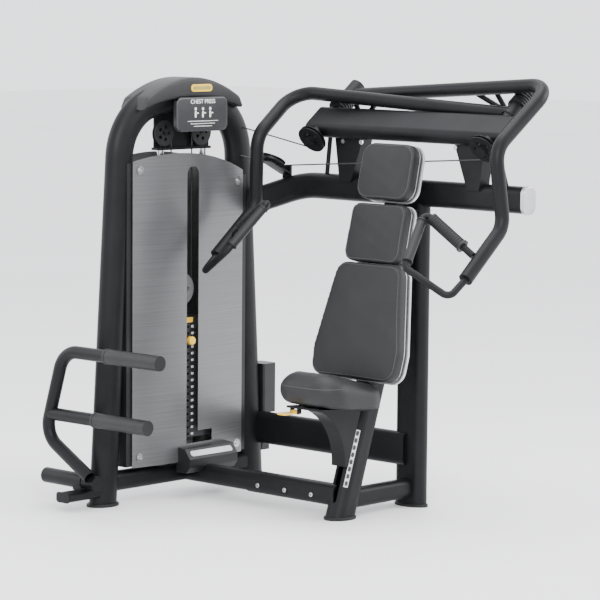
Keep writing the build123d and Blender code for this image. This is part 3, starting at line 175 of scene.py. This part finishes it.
MATERIALS = {
    "frame_paint": grained("frame_paint", (0.0042, 0.0043, 0.0050), (0.0070, 0.0072, 0.0082), 0.42,
                           specular=0.16),
    "hood_plastic": grained("hood_plastic", (0.0200, 0.0200, 0.0210), (0.0270, 0.0270, 0.0280), 0.46,
                            grain=1300, specular=0.22),
    "panel_plastic": grained("panel_plastic", (0.020, 0.020, 0.022), (0.027, 0.027, 0.029), 0.36,
                             grain=1500, strength=0.1),
    "shield_metal": grained("shield_metal", (0.150, 0.150, 0.155), (0.185, 0.185, 0.190), 0.34, 0.75,
                            patch=5, grain=46, stretch=(2, 0.5, 60), strength=0.14, spread=0.05,
                            specular=0.4),
    "bright_steel": grained("bright_steel", (0.40, 0.40, 0.41), (0.62, 0.62, 0.63), 0.30, 1.0, patch=60),
    "dark_plastic": grained("dark_plastic", (0.0060, 0.0060, 0.0066), (0.0110, 0.0110, 0.0120), 0.42,
                            grain=1100, specular=0.35),
    "chrome_rod": grained("chrome_rod", (0.55, 0.55, 0.57), (0.75, 0.75, 0.77), 0.14, 1.0, patch=30,
                          strength=0.05, spread=0.04),
    "stack_steel": grained("stack_steel", (0.020, 0.020, 0.021), (0.036, 0.036, 0.038), 0.40, 0.3,
                           grain=700),
    "yellow_plastic": grained("yellow_plastic", (0.62, 0.36, 0.02), (0.80, 0.50, 0.03), 0.32, grain=1200,
                              strength=0.1),
    "black_rubber": grained("black_rubber", (0.006, 0.006, 0.006), (0.011, 0.011, 0.011), 0.60, grain=800,
                            specular=0.3),
    "cable_sheath": grained("cable_sheath", (0.010, 0.010, 0.010), (0.022, 0.022, 0.022), 0.38, grain=600),
    "silver_trim": grained("silver_trim", (0.42, 0.42, 0.43), (0.60, 0.60, 0.61), 0.34, 0.6, grain=1500,
                           strength=0.1),
    "grip_rubber": grained("grip_rubber", (0.006, 0.006, 0.0065), (0.011, 0.011, 0.012), 0.52, grain=650,
                           strength=0.5, specular=0.35),
    "pad_cover": leatherette("pad_cover", (0.0120, 0.0120, 0.0127), (0.0185, 0.0185, 0.0195)),
}
# Seams are a real bead, coloured lighter than the pad; the lighter colour is a painted highlight along the
# pad's edge.
SEAM_WITH_PAINTED_HIGHLIGHT = grained("pad_seam_painted_highlight", (0.030, 0.030, 0.031), (0.048, 0.048, 0.050), 0.5, grain=2000)
LABEL_WHITE = grained("label_white", (0.62, 0.62, 0.62), (0.78, 0.78, 0.78), 0.45, grain=1500,
                      strength=0.05)
BADGE_OLIVE = grained("badge_olive", (0.20, 0.17, 0.03), (0.30, 0.26, 0.06), 0.4, grain=1500,
                      strength=0.05)
LABEL_INK = grained("label_ink", (0.010, 0.010, 0.010), (0.016, 0.016, 0.016), 0.4, grain=1500,
                    strength=0.05)


def dress_cad_nodes():
    """Each CAD node gets its slot's material and smooth faces that stay sharp at its edges."""
    slot_of = {entry["node"]: entry["material_slot"] for entry in frame["record"]["subparts"]}
    for node_name, node in NODES.items():
        node.data.materials.clear()
        node.data.materials.append(MATERIALS[slot_of[node_name]])
        for polygon in node.data.polygons:
            polygon.use_smooth = True
        crease = node.modifiers.new("crease", "EDGE_SPLIT")
        crease.split_angle = math.radians(32)


dress_cad_nodes()


# ---------------------------------------------------------------- small builders
def finish_piece(obj, body, material):
    obj.data.materials.clear()
    obj.data.materials.append(material)
    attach(obj, body)


def finish_in(obj, body, slot_name):
    """Finish a piece in the material of one of the record's slots."""
    finish_piece(obj, body, MATERIALS[slot_name])


def mesh_object(name, vertices, faces):
    mesh = bpy.data.meshes.new(name)
    mesh.from_pydata([tuple(v) for v in vertices], [], faces)
    mesh.update()
    obj = bpy.data.objects.new(name, mesh)
    bpy.context.scene.collection.objects.link(obj)
    return obj


def smooth_with_creases(obj):
    for polygon in obj.data.polygons:
        polygon.use_smooth = True
    obj.modifiers.new("crease", "EDGE_SPLIT").split_angle = math.radians(40)


def outline_loft(loops):
    """Vertices and faces of a solid through equal loops, capped at both ends."""
    count = len(loops[0])
    vertices = [point for loop in loops for point in loop]
    faces = []
    for row in range(len(loops) - 1):
        for step in range(count):
            after = (step + 1) % count
            faces.append((row * count + step, row * count + after, (row + 1) * count + after,
                          (row + 1) * count + step))
    faces.append(tuple(reversed(range(count))))
    faces.append(tuple(range((len(loops) - 1) * count, len(loops) * count)))
    return vertices, faces


def rounded_outline(half_width, half_height, corner):
    """Points round a rectangle whose corners are arcs, as pairs."""
    points = []
    for quarter, (sx, sy) in enumerate(((1, 1), (-1, 1), (-1, -1), (1, -1))):
        for step in range(7):
            angle = math.radians(90 * quarter + 15 * step)
            points.append((sx * (half_width - corner) + corner * math.cos(angle),
                           sy * (half_height - corner) + corner * math.sin(angle)))
    return points


def rounded_slab(name, origin, across, up, width, height, corner, thickness, edge=0.0006):
    """A thin rounded plate standing off a surface; its outward normal is across x up."""
    out = across.cross(up).normalized()
    base = rounded_outline(width / 2, height / 2, corner)
    loops = []
    for level, shrink in ((0, 0), (thickness - edge, 0), (thickness, edge)):
        loops.append([origin + across * (x - math.copysign(shrink, x)) + up * (y - math.copysign(shrink, y))
                      + out * level for x, y in base])
    return mesh_object(name, *outline_loft(loops))


def ring(name, start, end, outer, inner, sides=64):
    """A tube between two points."""
    way = (end - start).normalized()
    side = way.orthogonal().normalized()
    other = way.cross(side)
    turns = [2 * math.pi * k / sides for k in range(sides)]
    vertices = []
    for centre, radius in ((start, inner), (start, outer), (end, outer), (end, inner)):
        vertices += [centre + (side * math.cos(turn) + other * math.sin(turn)) * radius for turn in turns]
    faces = []
    for row in range(4):
        below = (row + 1) % 4
        for k in range(sides):
            after = (k + 1) % sides
            faces.append((row * sides + k, row * sides + after, below * sides + after, below * sides + k))
    obj = mesh_object(name, vertices, faces)
    smooth_with_creases(obj)
    return obj


def tube_along(name, points, radius, closed=True):
    curve = bpy.data.curves.new(name, "CURVE")
    curve.dimensions = "3D"
    curve.bevel_depth = radius
    curve.bevel_resolution = 3
    line = curve.splines.new("POLY")
    line.points.add(len(points) - 1)
    for spot, point in zip(line.points, points):
        spot.co = (*point, 1)
    line.use_cyclic_u = closed
    obj = bpy.data.objects.new(name, curve)
    bpy.context.scene.collection.objects.link(obj)
    return obj


def words(name, text, size, origin, across, up, depth=0.0004):
    """Raised lettering standing on a surface, turned to face across x up."""
    curve = bpy.data.curves.new(name, "FONT")
    curve.body = text
    curve.size = size
    curve.extrude = depth
    curve.align_x = "CENTER"
    curve.align_y = "CENTER"
    obj = bpy.data.objects.new(name, curve)
    bpy.context.scene.collection.objects.link(obj)
    turned = Matrix((across, up, across.cross(up))).transposed().to_4x4()
    obj.matrix_world = Matrix.Translation(origin) @ turned
    return obj


def joined(name, objects):
    """One mesh from several objects, with their places kept."""
    vertices, faces = [], []
    for obj in objects:
        bpy.context.view_layer.update()
        evaluated = obj.evaluated_get(bpy.context.evaluated_depsgraph_get())
        mesh = evaluated.to_mesh()
        first = len(vertices)
        vertices += [obj.matrix_world @ v.co for v in mesh.vertices]
        faces += [tuple(first + i for i in polygon.vertices) for polygon in mesh.polygons]
        evaluated.to_mesh_clear()
        bpy.data.objects.remove(obj)
    return mesh_object(name, vertices, faces)


def surface_tree(obj):
    return BVHTree.FromObject(obj, bpy.context.evaluated_depsgraph_get())


# ---------------------------------------------------------------- cushions
SIDE_SWELL = 0.004
RIPPLE = 0.0007
SEAM_RADIUS = 0.0010


def settle(pad):
    """Turn a piece's modifiers into its mesh."""
    bpy.context.view_layer.update()
    shaped = bpy.data.meshes.new_from_object(pad.evaluated_get(bpy.context.evaluated_depsgraph_get()))
    pad.modifiers.clear()
    pad.data = shaped
    return shaped


def cushion(node_name, across, up, out, body, crown, rounding, warp=None):
    """A stuffed pad from a CAD pad: rounded edges, a crowned face and sides that pull in."""
    pad = bpy.data.objects.new(node_name + "_cushion", NODES[node_name].data.copy())
    bpy.context.scene.collection.objects.link(pad)
    remesh = pad.modifiers.new("even", "REMESH")
    remesh.mode = "VOXEL"
    remesh.voxel_size = 0.0045
    shaped = settle(pad)
    if warp:
        for vertex in shaped.vertices:
            vertex.co = warp(vertex.co)
    soften = pad.modifiers.new("round", "SMOOTH")
    soften.factor = 0.6
    soften.iterations = rounding
    shaped = settle(pad)
    low = [min(v.co.dot(axis) for v in shaped.vertices) for axis in (across, up, out)]
    high = [max(v.co.dot(axis) for v in shaped.vertices) for axis in (across, up, out)]
    middle = [(a + b) / 2 for a, b in zip(low, high)]
    half = [(b - a) / 2 for a, b in zip(low, high)]
    for vertex in shaped.vertices:
        u = (vertex.co.dot(across) - middle[0]) / half[0]
        v = (vertex.co.dot(up) - middle[1]) / half[1]
        w = (vertex.co.dot(out) - middle[2]) / half[2]
        bulge = max(0.0, 1 - u ** 4) * max(0.0, 1 - v ** 4)
        wave = math.sin(9.1 * u + 4.3 * v) * math.cos(7.3 * v - 2.1 * u)
        lift = max(0.0, w) ** 2 * bulge * (crown + RIPPLE * wave)
        swell = SIDE_SWELL * max(0.0, 1 - w * w)
        vertex.co += out * lift + across * (u * swell * 0.5) + up * (v * swell * 0.5)
    for polygon in shaped.polygons:
        polygon.use_smooth = True
    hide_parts(node_name)
    finish_in(pad, body, "pad_cover")
    return pad


def face_outline(node_name, across, up):
    """The edge of a CAD pad, seen square to its face, as points in order round its middle."""
    corners = [v.co.copy() for v in NODES[node_name].data.vertices]
    centre = sum(corners, Vector()) / len(corners)
    hull = {}
    for point in corners:
        offset = point - centre
        flat = Vector((offset.dot(across), offset.dot(up)))
        key = round(math.atan2(flat.y, flat.x) * 40)
        if key not in hull or hull[key].length < flat.length:
            hull[key] = flat
    ordered = [hull[key] for key in sorted(hull)]
    dense = []
    for here, after in zip(ordered, ordered[1:] + ordered[:1]):
        pieces = max(1, int((after - here).length / 0.008))
        dense += [here.lerp(after, step / pieces) for step in range(pieces)]
    return [centre + across * p.x + up * p.y for p in dense]


def loop_on(pad, out, outline, inset):
    """Points of an inset outline dropped on to a cushion's face."""
    surface = surface_tree(pad)
    centre = sum(outline, Vector()) / len(outline)
    points = []
    for point in outline:
        offset = point - centre
        flat = offset - out * offset.dot(out)
        start = centre + flat * (1 - inset / flat.length) + out * 0.3
        hit = surface.ray_cast(start, -out)
        if hit[0] is not None:
            points.append(hit[0] + out * 0.0002)
    return points


BACK_UP = Vector((0, math.sin(BACK_LEAN), math.cos(BACK_LEAN)))
BACK_OUT = Vector((0, -math.cos(BACK_LEAN), math.sin(BACK_LEAN)))
PAD_THICKNESS = 0.050
PIPING_DEPTH, PIPING_RADIUS = 0.034, 0.0018
RIM_DEPTH, RIM_RADIUS = 0.0555, 0.0052
EDGE_STEP = 0.0005


def back_pad(node_name, crown):
    """A back cushion with its edge seam, its piping and the silver rim of the shell behind it."""
    pad = cushion(node_name, X, BACK_UP, BACK_OUT, "frame", crown, 7)
    outline = face_outline(node_name, X, BACK_UP)
    # The edge seam's lighter colour is a painted highlight along the cushion's edge.
    seam = tube_along(f"{node_name}_seam", loop_on(pad, BACK_OUT, outline, 0.007), SEAM_RADIUS)
    finish_piece(seam, "frame", SEAM_WITH_PAINTED_HIGHLIGHT)
    middle = sum(outline, Vector()) / len(outline)
    for part, depth, radius, step in (("piping", PIPING_DEPTH, PIPING_RADIUS, EDGE_STEP),
                                      ("shell_rim", RIM_DEPTH, RIM_RADIUS, -EDGE_STEP)):
        level = BACK_OUT * (PAD_THICKNESS / 2 - depth)
        around = [point + level + (point - middle).normalized() * step for point in outline]
        finish_in(tube_along(f"{node_name}_{part}", around, radius), "frame", "silver_trim")


for pad_name, pad_crown in (("lower_back_pad", 0.006), ("middle_back_pad", 0.005), ("head_pad", 0.005)):
    back_pad(pad_name, pad_crown)

SEAT_ALONG = Vector((0, math.cos(SEAT_SLOPE), -math.sin(SEAT_SLOPE)))
SEAT_OUT = Vector((0, math.sin(SEAT_SLOPE), math.cos(SEAT_SLOPE)))
SEAT_HALF_WIDTH = 0.136
SEAT_FRONT, SEAT_REAR = 0.185, 0.495
NOSE_RADIUS = 0.058
TOP_EDGE_DRAW, BOTTOM_EDGE_DRAW = 0.040, 0.010
STRAIGHT_HALF_WIDTH = 0.050


def seat_shape(point):
    """Draw a seat pad's point in, so that its nose is a half round and its upper edges are soft."""
    x, y, z = point + CENTRE
    reach = (y - SEAT_FRONT + 0.010) / (SEAT_REAR - SEAT_FRONT + 0.020)
    top = 0.514 - 0.068 * reach
    bottom = 0.402 - 0.024 * reach
    level = max(-1.0, min(1.0, (2 * z - top - bottom) / (top - bottom)))
    drawn = 1 - math.sqrt(max(0.0, 1 - level * level))
    y = SEAT_REAR - (SEAT_REAR - y) * (1 - drawn * NOSE_RADIUS / (SEAT_REAR - SEAT_FRONT))
    offset = x - SEAT_X
    outward = max(0.0, abs(offset) - STRAIGHT_HALF_WIDTH) / (SEAT_HALF_WIDTH - STRAIGHT_HALF_WIDTH)
    edge_draw = TOP_EDGE_DRAW if level > 0 else BOTTOM_EDGE_DRAW
    x -= math.copysign(drawn * edge_draw * min(1.0, outward), offset)
    return at(x, y, z)


def nose_seam(pad):
    """A seam across the front of the seat, found by rays drawn in to the middle of its nose."""
    surface = surface_tree(pad)
    nose_middle = at(SEAT_X, SEAT_FRONT + 0.125, 0.470)
    points = []
    for step in range(25):
        angle = math.radians(-70 + 140 * step / 24)
        start = nose_middle + Vector((0.2 * math.sin(angle), -0.2 * math.cos(angle), 0))
        toward = (nose_middle - start).normalized()
        points.append(surface.ray_cast(start, toward)[0] - toward * 0.0002)
    # The nose seam's lighter colour is a painted highlight across the seat's front.
    finish_piece(tube_along("seat_nose_seam", points, SEAM_RADIUS, False), "seat", SEAM_WITH_PAINTED_HIGHLIGHT)


nose_seam(cushion("seat_pad", X, SEAT_ALONG, SEAT_OUT, "seat", 0.006, 9, seat_shape))

# ---------------------------------------------------------------- tower hood
HOOD_BACK_X, HOOD_FRONT_X = -0.050, 0.0715
HOOD_REACH = 0.226
HOOD_TOP_Z, HOOD_DROP = 1.4815, 0.068
HOOD_HEIGHT, HOOD_TAPER = 0.070, 0.020
HOOD_CORNER = 0.013
HOOD_LEAN = 0.52


def hood_loop(along, shrink):
    """One rounded slice of the hood, across the tower's crown, at a share of its reach."""
    lean = Vector((0, -HOOD_LEAN * along, 1)).normalized()
    height = HOOD_HEIGHT - HOOD_TAPER * along * along
    top = at((HOOD_BACK_X + HOOD_FRONT_X) / 2, TOWER_MID_Y + 0.004 + HOOD_REACH * along,
             HOOD_TOP_Z - HOOD_DROP * along * along)
    centre = top - lean * (height / 2)
    half_width = (HOOD_FRONT_X - HOOD_BACK_X) / 2 - shrink
    return [centre + X * x + lean * z
            for x, z in rounded_outline(half_width, height / 2 - shrink, HOOD_CORNER)]


hood_slices = [(-1.0, 0.007), (-0.990, 0.002)]
hood_slices += [(-0.975 + 1.95 * step / 48, 0) for step in range(49)]
hood_slices += [(0.990, 0.002), (1.0, 0.007)]
hood = mesh_object("tower_hood_shell", *outline_loft([hood_loop(*one) for one in hood_slices]))
smooth_with_creases(hood)
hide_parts("tower_hood")
finish_in(hood, "frame", "hood_plastic")

# ---------------------------------------------------------------- tower badge and sign
BADGE_X, BADGE_Y, BADGE_Z = 0.0705, 0.392, 1.4440
finish_in(rounded_slab("tower_badge", at(BADGE_X, BADGE_Y, BADGE_Z), Y, Z, 0.104, 0.026, 0.0125, 0.004),
          "frame", "yellow_plastic")
finish_piece(rounded_slab("tower_badge_core", at(BADGE_X + 0.004, BADGE_Y, BADGE_Z), Y, Z, 0.086, 0.012,
                          0.0058, 0.0008, 0.0002), "frame", BADGE_OLIVE)

SIGN_X = 0.0765
SIGN_BACK_X = SIGN_X - 0.0004
SIGN_Y = 0.395


def printed_slab(name, y, z, width, height, corner):
    """A flat printed shape on the sign."""
    return rounded_slab(name, at(SIGN_BACK_X, y, z), Y, Z, width, height, corner, 0.001, 0.0002)


sign_print = [words("sign_title", "CHEST PRESS", 0.021, at(SIGN_X, SIGN_Y, 1.396), Y, Z)]
for figure in range(3):
    figure_y = SIGN_Y + (figure - 1) * 0.036
    sign_print.append(ring("figure_head", at(SIGN_BACK_X, figure_y, 1.371),
                           at(SIGN_X + 0.0006, figure_y, 1.371), 0.0055, 0.0001, 20))
    sign_print.append(printed_slab("figure_body", figure_y, 1.352, 0.008, 0.024, 0.0035))
    sign_print.append(printed_slab("figure_arm", figure_y + 0.008, 1.356, 0.014, 0.0045, 0.002))
for line in range(3):
    sign_print.append(printed_slab("sign_rule", SIGN_Y, 1.328 - line * 0.009, 0.150 - 0.03 * line, 0.0022,
                                   0.001))
finish_piece(joined("sign_print", sign_print), "frame", LABEL_WHITE)

# ---------------------------------------------------------------- stack labels
PLATE_FRONT_X = 0.048
PLATE_BACK_X = PLATE_FRONT_X - 0.0002
STACK_BOTTOM_Z = 0.205
PLATE_PITCH = 0.024
PLATE_MIDDLE = 0.0115
LABEL_Y = 0.376
PLATE_COUNT, RESTING_COUNT = 17, 14
PLATE_LEVELS = [STACK_BOTTOM_Z + PLATE_PITCH * index + PLATE_MIDDLE for index in range(PLATE_COUNT)]


def plate_mark(index):
    return rounded_slab("plate_mark", at(PLATE_BACK_X, LABEL_Y, PLATE_LEVELS[index]), Y, Z, 0.011, 0.008,
                        0.002, 0.0009, 0.0002)


def plate_number(index):
    return words("plate_number", str(5 * (PLATE_COUNT + 1 - index)), 0.0075,
                 at(PLATE_FRONT_X + 0.0008, LABEL_Y, PLATE_LEVELS[index]), Y, Z, 0.0002)


for kind, make, colour in (("marks", plate_mark, LABEL_WHITE), ("numbers", plate_number, LABEL_INK)):
    resting = [make(index) for index in range(RESTING_COUNT)]
    finish_piece(joined(f"plate_{kind}", resting), "frame", colour)
    lifted = [make(index) for index in range(RESTING_COUNT, PLATE_COUNT)]
    finish_piece(joined(f"lifted_plate_{kind}", lifted), "stack", colour)
finish_in(rounded_slab("top_plate_label", at(PLATE_BACK_X, TOWER_MID_Y, 0.6245), Y, Z, 0.046, 0.018, 0.003,
                       0.0012), "stack", "yellow_plastic")

# ---------------------------------------------------------------- pivot rings and seat scale
PIVOT_AXIS = Vector((0, 0.8, 0.6))
for arm, pivot_x in (("right", 1.135), ("left", 0.355)):
    pivot = at(pivot_x, 0.735, 1.325)
    pivot_ring = ring(f"{arm}_pivot_ring", pivot + PIVOT_AXIS * 0.0682, pivot + PIVOT_AXIS * 0.0695,
                      0.027, 0.0152)
    finish_in(pivot_ring, "frame", "chrome_rod")

POST_UP = Vector((0, math.sin(POST_LEAN), math.cos(POST_LEAN)))
POST_BACK = Vector((0, math.cos(POST_LEAN), -math.sin(POST_LEAN)))
POST_FOOT = at(SEAT_X, POST_FOOT_Y, 0)
SCALE_OUT = (X - POST_BACK).normalized()
SCALE_ACROSS = (X + POST_BACK).normalized()
SCALE_FOOT = POST_FOOT + X * 0.03004 - POST_BACK * 0.04004 + SCALE_OUT * 0.0010
windows = [rounded_slab("scale_window", SCALE_FOOT + POST_UP * (0.118 + 0.025 * index), SCALE_ACROSS,
                        POST_UP, 0.0105, 0.017, 0.005, 0.0008, 0.0002) for index in range(8)]
finish_piece(joined("scale_windows", windows), "frame", LABEL_INK)

# ---------------------------------------------------------------- grips, slider block and painted highlight strip on the cover
HANDLE_POINTS = ((0.542, 0.429, 0.934), (0.352, 0.408, 1.066), (0.404, 0.251, 0.897))
TEXTURED_RADIUS, PLAIN_RADIUS = 0.0185, 0.0165


def grip_ribs(arm, side):
    """Ribs round an arm's textured grip, and a collar at each open grip end."""
    near, far, low = [at(SEAT_X + side * offset, y, z) for offset, y, z in HANDLE_POINTS]
    textured_way = (far - near).normalized()
    plain_way = (low - far).normalized()

    def collar(name, start, way, first, last, radius, inner):
        return ring(name, start + way * first, start + way * last, radius, inner, 32)

    ribs = [collar("grip_rib", near, textured_way, 0.064 + 0.009 * k, 0.0685 + 0.009 * k, 0.0202,
                   TEXTURED_RADIUS) for k in range(15)]
    ribs.append(collar("grip_end", near, textured_way, 0.1935, 0.1995, 0.0208, TEXTURED_RADIUS))
    ribs.append(collar("grip_end", far, plain_way, 0.036, 0.041, 0.0186, PLAIN_RADIUS))
    ribs.append(collar("grip_end", far, plain_way, 0.207, 0.212, 0.0186, PLAIN_RADIUS))
    finish_in(joined(f"{arm}_grip_ribs", ribs), f"{arm}_arm", "grip_rubber")


grip_ribs("right", -1)
grip_ribs("left", 1)

PEDAL_Y = -0.126
for collar_z, collar_x in ((0.545, 0.146), (0.320, 0.087)):
    pedal_collar = ring("pedal_collar", at(collar_x - 0.004, PEDAL_Y, collar_z),
                        at(collar_x + 0.004, PEDAL_Y, collar_z), 0.0272, 0.0226)
    finish_in(pedal_collar, "foot_lever", "grip_rubber")

slider_block = rounded_slab("slider_block", POST_FOOT - POST_BACK * 0.0512 + POST_UP * 0.214, X, POST_UP,
                            0.034, 0.036, 0.005, 0.014, 0.002)
finish_in(slider_block, "seat", "bright_steel")

# A silver strip on the sloping top of the stack base cover: a painted highlight on the cover's edge.
COVER_SLOPE = Vector((0.026, 0, -0.034)).normalized()
finish_in(rounded_slab("cover_edge_painted_highlight", at(0.1175, 0.405, 0.1585), COVER_SLOPE, Y, 0.022, 0.205, 0.008, 0.0016,
                       0.0005), "frame", "silver_trim")

bolts = []
for side in (-1, 1):
    for bolt_offset in (0.215, 0.300):
        bolt_seat = at(SEAT_X + side * bolt_offset, 0.725, 1.262)
        bolts.append(ring("bracket_bolt", bolt_seat, bolt_seat - Y * 0.005, 0.0085, 0.0001, 6))
finish_in(joined("bracket_bolts", bolts), "frame", "bright_steel")


# ---------------------------------------------------------------- floor and light
def lamp(name, place, aim, size, power):
    data = bpy.data.lights.new(name, "AREA")
    data.shape = "RECTANGLE"
    data.size, data.size_y = size
    data.energy = power
    obj = bpy.data.objects.new(name, data)
    bpy.context.scene.collection.objects.link(obj)
    obj.location = place
    obj.rotation_euler = (Vector(aim) - Vector(place)).to_track_quat("-Z", "Y").to_euler()
    return obj


floor = mesh_object("floor", [(-30, -30, 0), (30, -30, 0), (30, 30, 0), (-30, 30, 0)], [(0, 1, 2, 3)])
floor.data.materials.append(grained("floor_pale", (0.86, 0.86, 0.86), (0.90, 0.90, 0.90), 0.6, patch=0.6,
                                    grain=40, strength=0.02))
lamps = [
    lamp("key", (3.2, -3.6, 3.6), (0, 0, 0.7), (2.6, 2.6), 210),
    lamp("fill", (-3.8, -2.6, 2.4), (0, 0, 0.8), (2.4, 3.0), 55),
    lamp("top", (0.2, 0.4, 4.2), (0, 0, 0.6), (3.2, 2.2), 120),
    lamp("rim", (2.8, 3.4, 2.8), (0, 0, 0.9), (2.0, 2.4), 120),
]
world = bpy.data.worlds.new("studio")
world.use_nodes = True
world.node_tree.nodes["Background"].inputs["Color"].default_value = (0.95, 0.96, 1.0, 1)
world.node_tree.nodes["Background"].inputs["Strength"].default_value = 2.3
bpy.context.scene.world = world
